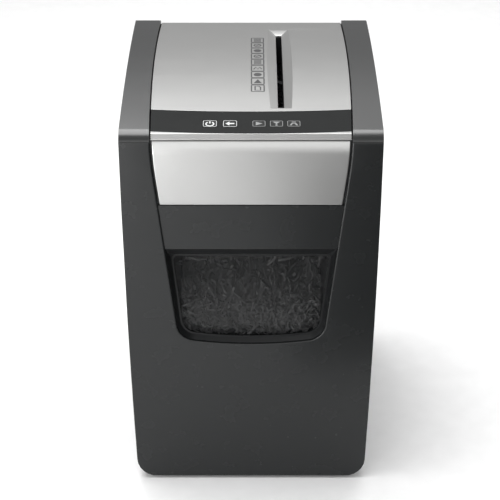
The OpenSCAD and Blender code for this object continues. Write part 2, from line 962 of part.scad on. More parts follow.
module final_gear() {
    color(steel)
        gear([left_x, cutter_z], final_y, final_w, final_teeth, final_m, left_phase, journal_r + eps);
}

module middle_gear() {
    color(nylon) {
        gear(middle_at, final_y - 1, final_w + 1.5, pinion_teeth, final_m, middle_phase, pin_r + fit);
        gear(middle_at, middle_y - 1, middle_w + 1, wheel_teeth, wheel_m, middle_phase, pin_r + fit);
    }
}

module first_gear() {
    color(nylon) {
        gear(first_at, middle_y, first_y - middle_y, pinion_teeth, wheel_m, first_phase, pin_r + fit);
        gear(first_at, first_y, first_w, wheel_teeth, wheel_m, first_phase, pin_r + fit);
    }
}

module gear_pins() {
    // Each pin: its place, where its gear starts and where its gear ends
    pins = [[middle_at, final_y - 1, middle_y + middle_w], [first_at, middle_y, first_y + first_w]];
    color(steel) for (p = pins) translate([p[0][0], rear_plate_y, p[0][1]]) rotate([-90, 0, 0]) {
        cylinder(h = p[2] + 3 * pin_end - rear_plate_y, r = pin_r, $fn = 48);
        translate([0, 0, plate_t])
            cylinder(h = p[1] - panel_gap - rear_plate_y - plate_t, r = pin_r + pin_shoulder, $fn = 48);
    }
}

// ---------- Motor ----------

module at_motor(y) {
    translate([motor_at[0], y, motor_at[1]]) rotate([-90, 0, 0]) children();
}

module motor_casing() {
    color(steel) difference() {
        at_motor(motor_y0) difference() {
            cylinder(h = rear_plate_y - motor_y0, r = motor_r, $fn = 96);
            translate([0, 0, -1])
                cylinder(h = rear_plate_y - motor_y0 - cap_t, r = motor_r - motor_wall, $fn = 96);
            cylinder(h = big, r = motor_shaft_r + fit, $fn = 48);
            for (i = [0 : 5]) rotate(60 * i + 30) translate([motor_r - 5, -4, 12]) cube([10, 8, 20]);
        }
        motor_screw_set(fit);
    }
}

module motor_end_cap() {
    color(steel) at_motor(motor_y0 - cap_t) difference() {
        union() {
            cylinder(h = cap_t, r = motor_r, $fn = 96);
            cylinder(h = 2 * cap_t, r = cap_boss_r, $fn = 64);
        }
        translate([0, 0, -1]) cylinder(h = 20, r = motor_shaft_r + fit, $fn = 48);
    }
}

module motor_rotor() {
    color(steel) {
        at_motor(motor_y0 - shaft_end)
            cylinder(h = first_y + first_w + 1 - motor_y0 + shaft_end, r = motor_shaft_r, $fn = 48);
        at_motor(rotor_y) cylinder(h = rotor_w, r = rotor_r, $fn = 96);
    }
}

module motor_fan() {
    color(black) at_motor(motor_y0 - shaft_end + 2) difference() {
        union() {
            cylinder(h = fan_w, r = fan_hub_r, $fn = 48);
            for (i = [0 : fan_blades - 1]) rotate(360 / fan_blades * i)
                translate([fan_hub_r - 1, -blade_t / 2, 0]) cube([rotor_r - fan_hub_r, blade_t, fan_w]);
        }
        translate([0, 0, -1]) cylinder(h = 20, r = motor_shaft_r + eps, $fn = 48);
    }
}

module motor_pinion() {
    color(brass) gear(motor_at, first_y - pin_end, first_w + 2 * pin_end, pinion_teeth, wheel_m,
        motor_phase, motor_shaft_r + eps);
}

module motor_screws() {
    color(steel) motor_screw_set(0);
}

// ---------- Electrics ----------

module power_board() {
    color(board_green) box([board_x[0] - board_rim, board_x[1] + board_rim],
        [board_y[0] - board_rim, board_y[1] + board_rim], [plate_z0 + board_lift, parts_z]);
}

module board_parts() {
    color(black) {
        translate([capacitor[0], capacitor[1], parts_z])
            cylinder(h = capacitor[3], r = capacitor[2], $fn = 48);
        for (p = [relay, transformer, connector])
            box(p[0], p[1], [parts_z, parts_z + p[2]]);
    }
}

module cord_gland() {
    color(black) translate([gland_x, rear_y, gland_z]) rotate([90, 0, 0]) difference() {
        union() {
            cylinder(h = gland_len, r = gland_r, $fn = 48);
            translate([0, 0, wall]) cylinder(h = gland_flange_t, r = gland_flange_r, $fn = 48);
        }
        translate([0, 0, -1]) cylinder(h = gland_len + 2, r = gland_bore_r, $fn = 48);
    }
}

module reed_switch() {
    color(black) box(reed_x, reed_y, reed_z);
}

module bin_magnet() {
    color(steel) translate([(reed_x[0] + reed_x[1]) / 2, drawer_back_y - 0.5, (reed_z[0] + reed_z[1]) / 2])
        rotate([90, 0, 0]) cylinder(h = magnet_t, r = magnet_r, $fn = 40);
}

// ---------- Pull-out bin ----------

module at_pane() {
    translate([0, pane_mid_y, pane_mid_z]) rotate([90 - pane_lean, 0, 0]) children();
}

// The pane's outline in its own plane, grown by g
module pane_outline(g) {
    offset(delta = g) offset(r = pane_corner_r, $fn = 40) offset(delta = -pane_corner_r)
        translate([0, -pane_mid_z]) intersection() {
            insert_outline(-pane_inset);
            translate([-big, pane_bottom_z - 1]) square([2 * big, pane_top_z - pane_bottom_z + 1]);
        }
}

// The window frame's outline: the centre of the front, up to the fascia
module frame_outline(g) {
    offset(delta = g) intersection() {
        insert_outline(0);
        translate([-big, 0]) square([2 * big, fascia_bottom_z]);
    }
}

module drawer_front() {
    color(charcoal) difference() {
        union() {
            intersection() {
                envelope(0);
                difference() {
                    box([-big, big], [-big, drawer_back_y], [drawer_bottom_z, drawer_top_z]);
                    intersection() {
                        envelope(wall);
                        box([-big, big], [front_y + front_t, big], [0, drawer_top_z - wall]);
                    }
                }
            }
            // Block that holds the magnet
            box(reed_x, [front_y + 2 * wall, drawer_back_y - magnet_t - 0.5], [reed_z[0] - 2, reed_z[1] + 2]);
        }
        along_y(front_y - 1, front_y + front_t + 1) frame_outline(0);
        // Fascia's seat
        along_y(front_y - 1, front_y + proud + fascia_t) intersection() {
            insert_outline(0);
            translate([-big, fascia_bottom_z - 1]) square([2 * big, big]);
        }
    }
}

module window_frame() {
    color(charcoal) difference() {
        union() {
            along_y(front_y + proud, front_y + front_t) frame_outline(-frame_gap);
            box([-boss_half, boss_half], [front_y + front_t, boss_back_y], [boss_z0, boss_z1]);
        }
        // Recess that slopes in from the frame's edge to the pane
        hull() {
            along_y(front_y - 1, front_y + proud) intersection() {
                insert_outline(0);
                translate([-big, 0]) square([2 * big, ledge_z]);
            }
            at_pane() translate([0, 0, -eps]) linear_extrude(eps) pane_outline(pane_rim);
        }
        at_pane() translate([0, 0, -2 * boss_depth]) linear_extrude(3 * boss_depth) pane_outline(0);
        at_pane() translate([0, 0, -2 * boss_depth]) linear_extrude(2 * boss_depth - pane_set)
            pane_outline(pane_flange + frame_gap);
        tub_screw_set(screw_clear);
    }
}

module front_fascia() {
    color(silver) along_y(front_y + proud, front_y + proud + fascia_t) intersection() {
        insert_outline(-fascia_gap);
        translate([-big, fascia_bottom_z + fascia_seat])
            square([2 * big, drawer_top_z - fascia_bottom_z - fascia_seat]);
    }
}

module window_lens() {
    color(smoke) at_pane() translate([0, 0, -pane_set - pane_t])
        linear_extrude(pane_t) pane_outline(pane_flange);
}

module bin_tub() {
    color(black) difference() {
        along_y(boss_back_y, tub_back_y) intersection() {
            front_outline(tub_inset);
            translate([-big, 0]) square([2 * big, tub_top_z]);
        }
        along_y(boss_back_y + tub_wall, tub_back_y - tub_wall) front_outline(tub_inset + tub_wall);
        // Opening behind the window
        box([-tub_mouth[0], tub_mouth[0]], [boss_back_y - 1, boss_back_y + 2 * tub_wall],
            [tub_mouth[1], big]);
        tub_screw_set(screw_clear);
    }
}

module tub_screws() {
    color(steel) tub_screw_set(0);
}

// The pile is a crust of shreds over a hollow, so that it weighs what loose shreds do
module paper_shreds() {
    y0 = boss_back_y + tub_wall + pile_gap;
    y1 = tub_back_y - 2 * pile_gap;
    color(paper) {
        difference() {
            along_y(y0, y1) pile_outline(tub_inset + tub_wall, pile_top_z);
            along_y(y0 + crust_t, y1 - crust_t)
                pile_outline(tub_inset + tub_wall + crust_t, pile_top_z - crust_t);
            box([-pile_hollow[0], pile_hollow[0]], [-pile_hollow[1], pile_hollow[1]], [0, pile_hollow[2]]);
        }
        intersection() {
            at_pane() translate([0, 0, -2 * boss_depth])
                linear_extrude(2 * boss_depth - pane_set - pane_t - 1.5) pane_outline(-pane_flange);
            box([-pile_mouth[0], pile_mouth[0]], [-big, y0 + crust_t], [pile_mouth[1], pile_top_z]);
        }
    }
}

module pile_outline(t, top_z) {
    intersection() {
        front_outline(t);
        translate([-big, 0]) square([2 * big, top_z]);
    }
}

// ---------- Nodes ----------

left_side_panel();
right_side_panel();
back_panel();
base_plate();
rubber_feet();
drawer_glides();
base_screws();
back_screws();
top_panel();
control_strip();
power_button();
reverse_button();
indicator_lenses();
control_board();
tact_switches();
indicator_leds();
throat_guide();
sensor_flap();
sensor_pin();
flap_spring();
sensor_opto();
head_tray();
front_chassis_plate();
rear_chassis_plate();
tie_rods();
tie_rod_screws();
left_cutter_shaft();
right_cutter_shaft();
left_cutter_discs();
right_cutter_discs();
left_stripper();
right_stripper();
shaft_bushes();
left_sync_gear();
right_sync_gear();
final_gear();
middle_gear();
first_gear();
gear_pins();
motor_casing();
motor_end_cap();
motor_rotor();
motor_fan();
motor_pinion();
motor_screws();
power_board();
board_parts();
cord_gland();
reed_switch();
bin_magnet();
drawer_front();
window_frame();
front_fascia();
window_lens();
bin_tub();
tub_screws();
paper_shreds();
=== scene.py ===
"""Paper shredder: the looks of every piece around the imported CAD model, in metres."""

import math

import bmesh
import bpy
import numpy as np
from mathutils import Euler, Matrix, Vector, noise
from mathutils.bvhtree import BVHTree


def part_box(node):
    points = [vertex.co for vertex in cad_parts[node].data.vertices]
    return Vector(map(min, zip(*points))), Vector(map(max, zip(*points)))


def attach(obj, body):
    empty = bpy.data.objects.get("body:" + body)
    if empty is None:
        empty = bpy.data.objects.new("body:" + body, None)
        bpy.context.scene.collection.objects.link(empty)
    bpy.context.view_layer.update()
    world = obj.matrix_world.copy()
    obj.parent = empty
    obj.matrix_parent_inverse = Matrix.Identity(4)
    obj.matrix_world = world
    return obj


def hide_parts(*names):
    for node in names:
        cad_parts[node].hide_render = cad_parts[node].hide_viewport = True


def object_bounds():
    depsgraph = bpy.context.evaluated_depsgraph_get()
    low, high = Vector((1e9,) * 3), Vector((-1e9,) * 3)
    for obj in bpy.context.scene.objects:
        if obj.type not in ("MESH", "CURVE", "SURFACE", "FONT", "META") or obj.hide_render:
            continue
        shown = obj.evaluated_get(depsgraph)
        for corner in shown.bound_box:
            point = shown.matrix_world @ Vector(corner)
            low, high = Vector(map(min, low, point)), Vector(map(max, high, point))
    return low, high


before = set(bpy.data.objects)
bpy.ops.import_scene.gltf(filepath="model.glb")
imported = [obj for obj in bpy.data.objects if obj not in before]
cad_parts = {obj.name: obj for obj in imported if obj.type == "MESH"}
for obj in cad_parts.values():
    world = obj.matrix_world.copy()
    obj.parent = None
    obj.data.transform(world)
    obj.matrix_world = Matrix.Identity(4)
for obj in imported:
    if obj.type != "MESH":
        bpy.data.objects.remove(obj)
CAD_BOX = [list(corner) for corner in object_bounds()]
MM = 0.001
SEED = 26

# ---------- Sizes that the looks add to the CAD model ----------

# Points closer than this are one, and faces flatter than this are one
WELD = 0.02 * MM
FLAT_ANGLE = math.radians(0.4)
# Edges sharper than this are drawn as edges, and rounded by this much
CREASE = math.radians(26)
EDGE = 0.45 * MM
SEAM_EDGE = 0.15 * MM
SHEET_EDGE = 0.25 * MM
KEY_EDGE = 0.4 * MM
LENS_EDGE = 0.3 * MM
# Rails: the chamfer of their inner edges on the top and on the front, and where those edges are
RAIL_EDGE = 1.0 * MM
RAIL_CHAMFER = 2.2 * MM
RAIL_BAND = 26 * MM
RAIL_OVERHANG = 6 * MM
RAIL_FOOT = 30 * MM
FRONT_REACH = 4 * MM
FRONT_PLAY = 0.3 * MM
# Heap of shreds: how far it has slid back from the pane, from what height, and over what rise
PILE_SLIDE = 44 * MM
PILE_SLIDE_Z = 243 * MM
PILE_SLIDE_RISE = 50 * MM
PILE_SLIDE_CURVE = 1.5
# The heap is drawn this much narrower than the CAD heap, and kept this far off the bin's walls
PILE_NARROWER = 0.97
WALL_PLAY = 0.8 * MM
# Strips of paper: least and most length in mm, and the most bend in radians
STRIP_LENGTH = (8, 24)
STRIP_BEND = 2.6
# Free space for the strips behind the pane and on top of the heap
PANE_LEAN = math.radians(5)
PANE_HALF_W = 84 * MM
PANE_FLOOR_Z = 203.5 * MM
PANE_MIDDLE_Z = 250 * MM
PANE_GAP = 0.5 * MM
HEAP_HALF_W = 126 * MM
HEAP_FRONT_Y = -143 * MM
# Printed marks: how far they stand proud of a surface and reach into it
PRINT_LIFT = 0.05 * MM
PRINT_SINK = 0.15 * MM

CAMERA_AT = (0.0, -1.9211, 1.3064)
CAMERA_TILT = 60.77
CAMERA_LENS = 123.37
CAMERA_SHIFT = -0.0021
WORLD_STRENGTH = 0.4
FLOOR_DROP = 0.02 * MM
FLOOR_REACH = 12
CARD_LIFT = 0.01


# ---------- Camera, floor and light ----------

def make_camera():
    data = bpy.data.cameras.new("camera")
    data.lens = CAMERA_LENS
    data.sensor_width = 36.0
    data.shift_x = CAMERA_SHIFT
    camera = bpy.data.objects.new("camera", data)
    camera.location = CAMERA_AT
    camera.rotation_euler = (math.radians(CAMERA_TILT), 0.0, 0.0)
    bpy.context.scene.collection.objects.link(camera)
    bpy.context.scene.camera = camera


def soft_light(name, at, towards, width, height, watts):
    """A white rectangular light that faces a point."""
    data = bpy.data.lights.new(name, "AREA")
    data.shape = "RECTANGLE"
    data.size = width
    data.size_y = height
    data.energy = watts
    light = bpy.data.objects.new(name, data)
    light.location = at
    light.rotation_euler = (Vector(towards) - Vector(at)).to_track_quat("-Z", "Y").to_euler()
    bpy.context.scene.collection.objects.link(light)


def make_studio():
    """Soft lights round the object, aimed at its middle or at its upper front."""
    middle = (0.0, 0.0, 0.25)
    front = (0.0, -0.17, 0.43)
    soft_light("overhead_light", (-0.25, 0.16, 1.9), (0.0, 0.0, 0.45), 1.7, 1.4, 42.0)
    soft_light("back_light", (0.1, 2.0, 2.1), middle, 2.6, 1.0, 8.0)
    soft_light("left_light", (-1.8, -0.7, 0.9), middle, 1.2, 1.6, 11.0)
    soft_light("right_light", (1.8, 0.3, 0.9), middle, 1.0, 1.4, 3.0)
    soft_light("slot_light", (1.15, 2.0, 1.55), (0.03, 0.0, 0.48), 0.8, 0.5, 2.5)
    soft_light("front_light", (0.0, -2.8, 0.6), front, 2.6, 1.1, 15.0)
    soft_light("low_light", (-0.6, -1.05, 0.06), front, 0.7, 0.5, 10.0)
    world = bpy.data.worlds.new("studio")
    world.use_nodes = True
    background = world.node_tree.nodes["Background"]
    background.inputs["Color"].default_value = (1.0, 1.0, 1.0, 1.0)
    background.inputs["Strength"].default_value = WORLD_STRENGTH
    bpy.context.scene.world = world
    bpy.context.scene.view_settings.view_transform = "Standard"


def studio_sheet(name, x, y, z, finish):
    """A flat sheet of the studio: the floor, or a card that darkens a reflection."""
    mesh = bpy.data.meshes.new(name)
    corners = [(x[0], y[0], z), (x[1], y[0], z), (x[1], y[1], z), (x[0], y[1], z)]
    mesh.from_pydata(corners, [], [(0, 1, 2, 3)])
    sheet = bpy.data.objects.new(name, mesh)
    bpy.context.scene.collection.objects.link(sheet)
    mesh.materials.append(finish)


def make_floor():
    """The floor, and a dark card in front to the right, which the fascia reflects."""
    floor_z = CAD_BOX[0][2] - FLOOR_DROP
    pale = material("floor_paper", (0.93, 0.93, 0.93), 0.7, grain=(40, 0.02, 0.1))
    dark = material("dark_card", (0.02, 0.02, 0.02), 0.8, grain=(40, 0.02, 0.1))
    studio_sheet("floor", (-FLOOR_REACH, FLOOR_REACH), (-FLOOR_REACH, FLOOR_REACH), floor_z, pale)
    studio_sheet("right_card", (0.06, 1.0), (-1.7, -0.45), floor_z + CARD_LIFT, dark)


# ---------- Materials ----------

def material(name, colour, roughness, metallic=0.0, grain=(1400, 0.2, 0.08), shade=0.06, patch=35.0,
             stretch=(1.0, 1.0, 1.0), spread=0.08, **sockets):
    """A shader with its own fine grain (scale, bump, depth in mm), and slow changes of tone and gloss."""
    made = bpy.data.materials.new(name)
    made.use_nodes = True
    nodes = made.node_tree.nodes
    links = made.node_tree.links
    shader = nodes["Principled BSDF"]
    shader.inputs["Metallic"].default_value = metallic
    for socket, value in sockets.items():
        shader.inputs[socket.replace("_", " ")].default_value = value
    place = nodes.new("ShaderNodeTexCoord")
    mapping = nodes.new("ShaderNodeMapping")
    mapping.inputs["Scale"].default_value = stretch
    links.new(place.outputs["Object"], mapping.inputs["Vector"])

    def noise(scale, detail):
        node = nodes.new("ShaderNodeTexNoise")
        node.inputs["Scale"].default_value = scale
        node.inputs["Detail"].default_value = detail
        links.new(mapping.outputs["Vector"], node.inputs["Vector"])
        return node

    slow = noise(patch, 3.0)
    fine = noise(grain[0], 2.0)
    tone = nodes.new("ShaderNodeMapRange")
    tone.inputs["To Min"].default_value = roughness - spread
    tone.inputs["To Max"].default_value = roughness + spread
    links.new(slow.outputs["Fac"], tone.inputs["Value"])
    links.new(tone.outputs["Result"], shader.inputs["Roughness"])
    mix = nodes.new("ShaderNodeMix")
    mix.data_type = "RGBA"
    dark = [c * (1 - shade) for c in colour]
    light = [min(1.0, c * (1 + shade)) for c in colour]
    mix.inputs["A"].default_value = (*dark, 1.0)
    mix.inputs["B"].default_value = (*light, 1.0)
    both = nodes.new("ShaderNodeMath")
    both.operation = "MULTIPLY_ADD"
    both.inputs[1].default_value = 0.5
    half = nodes.new("ShaderNodeMath")
    half.operation = "MULTIPLY"
    half.inputs[1].default_value = 0.5
    links.new(slow.outputs["Fac"], half.inputs[0])
    links.new(fine.outputs["Fac"], both.inputs[0])
    links.new(half.outputs["Value"], both.inputs[2])
    links.new(both.outputs["Value"], mix.inputs["Factor"])
    links.new(mix.outputs["Result"], shader.inputs["Base Color"])
    bump = nodes.new("ShaderNodeBump")
    bump.inputs["Strength"].default_value = grain[1]
    bump.inputs["Distance"].default_value = grain[2] * MM
    links.new(fine.outputs["Fac"], bump.inputs["Height"])
    links.new(bump.outputs["Normal"], shader.inputs["Normal"])
    return made


def make_materials():
    return {
        "charcoal_shell": material("charcoal_shell", (0.0105, 0.0115, 0.0118), 0.27,
                                   grain=(1500, 0.08, 0.03), spread=0.02, Specular_IOR_Level=0.34),
        "charcoal_rail": material("charcoal_rail", (0.011, 0.0118, 0.012), 0.3,
                                  grain=(1500, 0.07, 0.03), spread=0.02, Specular_IOR_Level=0.85),
        # painted shade: a darker copy of the charcoal, laid on the window recess slopes where shade falls
        "recess_painted_shade": material("recess_painted_shade", (0.006, 0.0065, 0.007), 0.5, grain=(1500, 0.15, 0.04),
                                Specular_IOR_Level=0.2),
        "silver_trim": material("silver_trim", (0.41, 0.41, 0.405), 0.3, 0.85,
                                grain=(3200, 0.08, 0.02), shade=0.02, spread=0.015),
        "control_panel": material("control_panel", (0.009, 0.0098, 0.0098), 0.45, grain=(1800, 0.08, 0.03),
                                  Specular_IOR_Level=0.08),
        "button_cap": material("button_cap", (0.008, 0.0085, 0.0085), 0.45, grain=(1800, 0.1, 0.03),
                               Specular_IOR_Level=0.15),
        "indicator_lens": material("indicator_lens", (0.010, 0.0105, 0.0105), 0.4, grain=(1800, 0.05, 0.02),
                                   Specular_IOR_Level=0.15),
        "smoked_window": material("smoked_window", (0.008, 0.0085, 0.009), 0.07, grain=(300, 0.02, 0.02),
                                  spread=0.03, Alpha=0.45, Specular_IOR_Level=0.06),
        "black_plastic": material("black_plastic", (0.022, 0.023, 0.024), 0.45, grain=(900, 0.25, 0.08)),
        "nylon": material("nylon", (0.72, 0.70, 0.63), 0.42, grain=(700, 0.1, 0.05), Subsurface_Weight=0.15,
                          Subsurface_Scale=0.002),
        "zinc_steel": material("zinc_steel", (0.62, 0.63, 0.65), 0.32, 1.0, grain=(260, 0.15, 0.05),
                               stretch=(1.0, 6.0, 1.0), shade=0.12, spread=0.12),
        "hardened_steel": material("hardened_steel", (0.42, 0.43, 0.45), 0.28, 1.0, grain=(420, 0.25, 0.05),
                                   stretch=(1.0, 8.0, 1.0), shade=0.15, spread=0.12),
        "bronze": material("bronze", (0.62, 0.42, 0.20), 0.35, 1.0, grain=(500, 0.2, 0.05), shade=0.12),
        "rubber": material("rubber", (0.016, 0.016, 0.017), 0.75, grain=(1100, 0.5, 0.1)),
        "circuit_board": material("circuit_board", (0.02, 0.12, 0.05), 0.4, grain=(160, 0.3, 0.05), shade=0.4,
                                  patch=180.0),
        "motor_can": material("motor_can", (0.33, 0.34, 0.36), 0.38, 1.0, grain=(300, 0.15, 0.05),
                              stretch=(1.0, 0.2, 1.0), shade=0.12),
        "led": material("led", (0.75, 0.16, 0.12), 0.2, grain=(500, 0.05, 0.02),
                        Transmission_Weight=0.4),
        "shredded_paper": material("shredded_paper", (0.5, 0.5, 0.5), 0.75,
                                   grain=(900, 0.3, 0.06), shade=0.12, patch=120.0),
        "white_print": material("white_print", (0.55, 0.56, 0.56), 0.55, grain=(2500, 0.1, 0.01)),
        "grey_print": material("grey_print", (0.2, 0.205, 0.205), 0.55, grain=(2500, 0.1, 0.01)),
        "etched_print": material("etched_print", (0.035, 0.035, 0.036), 0.6, grain=(2500, 0.1, 0.01)),
    }


# ---------- Mesh tools ----------

def as_piece(name, mesh, body, slot, finish=None, stands_for=()):
    """Links a mesh as a piece that rides on a body and takes a slot's material."""
    piece = bpy.data.objects.new(name, mesh)
    bpy.context.scene.collection.objects.link(piece)
    mesh.materials.clear()
    mesh.materials.append(MATERIALS[finish or slot])
    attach(piece, body)
    if stands_for:
        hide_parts(*stands_for)
    return piece


def soften(piece, width=EDGE, segments=2):
    """Small rounded edges that catch the light, with normals that stay flat on the faces between them."""
    bevel = piece.modifiers.new("edges", "BEVEL")
    bevel.width = width
    bevel.segments = segments
    bevel.limit_method = "ANGLE"
    bevel.angle_limit = CREASE
    bevel.miter_outer = "MITER_ARC"
    bevel.use_clamp_overlap = True
    normals = piece.modifiers.new("normals", "WEIGHTED_NORMAL")
    normals.keep_sharp = True


def welded(node):
    """A bmesh of a CAD node with its doubled points joined, and no face of more than four corners."""
    bm = bmesh.new()
    bm.from_mesh(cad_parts[node].data)
    bmesh.ops.remove_doubles(bm, verts=bm.verts, dist=WELD)
    bmesh.ops.dissolve_degenerate(bm, dist=WELD, edges=bm.edges)
    bmesh.ops.dissolve_limit(bm, angle_limit=FLAT_ANGLE, verts=bm.verts, edges=bm.edges)
    bmesh.ops.triangulate(bm, faces=[face for face in bm.faces if len(face.verts) > 4])
    return bm


def refined(node, body, slot, chamfer=None, width=EDGE, finish=None):
    """A piece with a CAD node's shape, cleaned, with edges rounded by width, or sharp if it is None.

    chamfer is (test of an edge, size, segments).
    """
    bm = welded(node)
    if chamfer:
        test, size, segments = chamfer
        edges = [e for e in bm.edges if e.calc_face_angle(0.0) > CREASE and test(e)]
        bmesh.ops.bevel(bm, geom=edges, offset=size, segments=segments, affect="EDGES", profile=0.5,
                        clamp_overlap=False)
    for face in bm.faces:
        face.smooth = True
    for edge in bm.edges:
        edge.smooth = edge.calc_face_angle(0.0) < CREASE
    mesh = bpy.data.meshes.new(node + "_finished")
    bm.to_mesh(mesh)
    bm.free()
    odd = mesh.attributes.get("custom_normal")
    if odd:
        mesh.attributes.remove(odd)
    piece = as_piece(node + "_finished", mesh, body, slot, finish, stands_for=[node])
    if width:
        soften(piece, width)
    return piece


def mesh_from(name, points, faces):
    """A closed mesh with its faces turned outwards and smooth up to the crease angle."""
    mesh = bpy.data.meshes.new(name)
    mesh.from_pydata([tuple(p) for p in points], [], faces)
    bm = bmesh.new()
    bm.from_mesh(mesh)
    bmesh.ops.recalc_face_normals(bm, faces=bm.faces)
    for face in bm.faces:
        face.smooth = True
    for edge in bm.edges:
        edge.smooth = edge.calc_face_angle(0.0) < CREASE
    bm.to_mesh(mesh)
    bm.free()
    return mesh


def closed_grid(front, back):
    """Points and faces of a solid between two grids of points of the same size."""
    rows, cols = front.shape[:2]
    half = rows * cols
    points = np.concatenate([front.reshape(-1, 3), back.reshape(-1, 3)])
    faces = []
    for r in range(rows - 1):
        for c in range(cols - 1):
            quad = (r * cols + c, r * cols + c + 1, (r + 1) * cols + c + 1, (r + 1) * cols + c)
            faces.append(quad)
            faces.append(tuple(half + i for i in reversed(quad)))
    rim = [c for c in range(cols)] + [r * cols + cols - 1 for r in range(1, rows)]
    rim += [(rows - 1) * cols + c for c in range(cols - 2, -1, -1)]
    rim += [r * cols for r in range(rows - 2, 0, -1)]
    for i, p in enumerate(rim):
        q = rim[(i + 1) % len(rim)]
        faces.append((q, p, half + p, half + q))
    return points, faces


def surface_of(*nodes):
    """A function that gives the height of the highest of these CAD nodes at a place in plan."""
    trees = []
    for node in nodes:
        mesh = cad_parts[node].data
        trees.append(BVHTree.FromPolygons([v.co for v in mesh.vertices], [p.vertices for p in mesh.polygons]))

    def height(x, y):
        hits = [tree.ray_cast(Vector((x, y, 1.0)), Vector((0, 0, -1))) for tree in trees]
        return max(hit[0].z for hit in hits if hit[0] is not None)

    return height


# ---------- Printed marks: strokes in millimetres, laid on a surface ----------

def arc(radius, start, end, steps, middle=(0.0, 0.0)):
    angles = [math.radians(start + (end - start) * i / steps) for i in range(steps + 1)]
    return [(middle[0] + radius * math.cos(a), middle[1] + radius * math.sin(a)) for a in angles]


def rounded_box(half_w, half_h, radius):
    """A closed path with round corners."""
    path = []
    for sx, sy, start in ((1, 1, 0), (-1, 1, 90), (-1, -1, 180), (1, -1, 270)):
        path += arc(radius, start, start + 90, 5, (sx * (half_w - radius), sy * (half_h - radius)))
    return path


def stroke(path, width, closed=False):
    """The two sides of a line of this width along a path."""
    points = np.array(path, float)
    if closed:
        ahead, behind = np.roll(points, -1, 0), np.roll(points, 1, 0)
    else:
        ahead = np.concatenate([points[1:], points[-1:]])
        behind = np.concatenate([points[:1], points[:-1]])
    along = ahead - behind
    along /= np.maximum(1e-9, np.linalg.norm(along, axis=1))[:, None]
    side = np.stack([-along[:, 1], along[:, 0]], 1) * width / 2
    return points + side, points - side, closed


def fill(left, right):
    """A filled shape between two sides."""
    return np.array(left, float), np.array(right, float), False


def printed(name, strokes, at, height, body, finish):
    """Strokes as thin raised solids on a surface, round the place at, joined in one piece."""
    points, faces = [], []
    for left, right, closed in strokes:
        first = len(points)
        count = len(left)
        for lift in (PRINT_LIFT, -PRINT_SINK):
            for side in (left, right):
                for p in side:
                    x, y = at[0] + p[0] * MM, at[1] + p[1] * MM
                    points.append((x, y, height(x, y) + lift))
        for i in range(count if closed else count - 1):
            j = (i + 1) % count
            for a, b in ((0, 1), (1, 3), (3, 2), (2, 0)):
                quad = (a * count + i, a * count + j, b * count + j, b * count + i)
                faces.append(tuple(first + k for k in quad))
        if not closed:
            for i in (0, count - 1):
                faces.append(tuple(first + k * count + i for k in (0, 1, 3, 2)))
    return as_piece(name, mesh_from(name, points, faces), body, finish[0], finish[1])


def power_glyph():
    return [stroke(arc(4.4, 122, 418, 26, (0, -0.8)), 1.6), stroke([(0, 0.2), (0, 5.0)], 1.6)]


def back_arrow_glyph():
    """An arrow that points back to the left."""
    return [fill([(-5.2, 0.05), (-0.6, 4.4)], [(-5.2, -0.05), (-0.6, -4.4)]),
            stroke([(-0.8, 0), (5.0, 0)], 2.6)]


def play_glyph():
    return [fill([(-3.6, 3.9), (4.0, 0.05)], [(-3.6, -3.9), (4.0, -0.05)])]


def heat_glyph():
    return [fill([(-4.2, 4.2), (4.2, 4.2)], [(-0.8, 0.2), (0.8, 0.2)]), stroke([(0, 0.4), (0, -1.6)], 1.5),
            stroke(arc(0.8, 0, 360, 12, (0, -3.4))[:-1], 1.2, True)]


def bin_glyph():
    return [fill([(-5.0, -4.0), (-2.4, 1.6), (2.4, 1.6), (5.0, -4.0)],
                 [(-2.6, -4.0), (-1.2, -0.2), (1.2, -0.2), (2.6, -4.0)]),
            stroke([(-2.2, 3.6), (2.2, 3.6)], 1.4)]


def picture_marks(kind):
    """A plain picture for one cell of the column: sheet, disc, ring, bars, zigzag or wedge."""
    if kind == "sheet":
        return [stroke([(-3.2, -5.4), (-3.2, 5.4), (1.4, 5.4), (3.2, 3), (3.2, -5.4)], 1.8, True)]
    if kind == "disc":
        return [stroke(arc(2.5, 0, 360, 16)[:-1], 4.8, True)]
    if kind == "ring":
        return [stroke(arc(4.2, 0, 360, 20)[:-1], 1.8, True), stroke([(-2.8, -2.8), (2.8, 2.8)], 1.6)]
    if kind == "bars":
        return [stroke([(-4.6, y), (4.6, y)], 2.0) for y in (-5.0, -1.6, 1.8, 5.2)]
    if kind == "zigzag":
        return [stroke([(-4.8, -3.4), (-2.2, 3.4), (0.2, -3.4), (2.6, 3.4), (4.8, -3.0)], 2.0)]
    return [fill([(-5.0, -5.4), (0.0, 5.6)], [(5.0, -5.4), (0.1, 5.6)])]


# ---------- Casing ----------

def make_casing():
    top_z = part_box("left_side_panel")[1].z
    inner_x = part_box("top_panel")[1].x + RAIL_OVERHANG

    def on_rail(edge):
        return all(v.co.z > top_z - RAIL_BAND and abs(v.co.x) < inner_x for v in edge.verts)

    for node in ("left_side_panel", "right_side_panel"):
        refined(node, "casing", "charcoal_shell", (on_rail, RAIL_EDGE, 2), SEAM_EDGE, "charcoal_rail")
    for node in ("back_panel", "base_plate"):
        refined(node, "casing", "charcoal_shell", width=None)
    refined("rubber_feet", "casing", "rubber")
    refined("head_tray", "casing", "black_plastic")


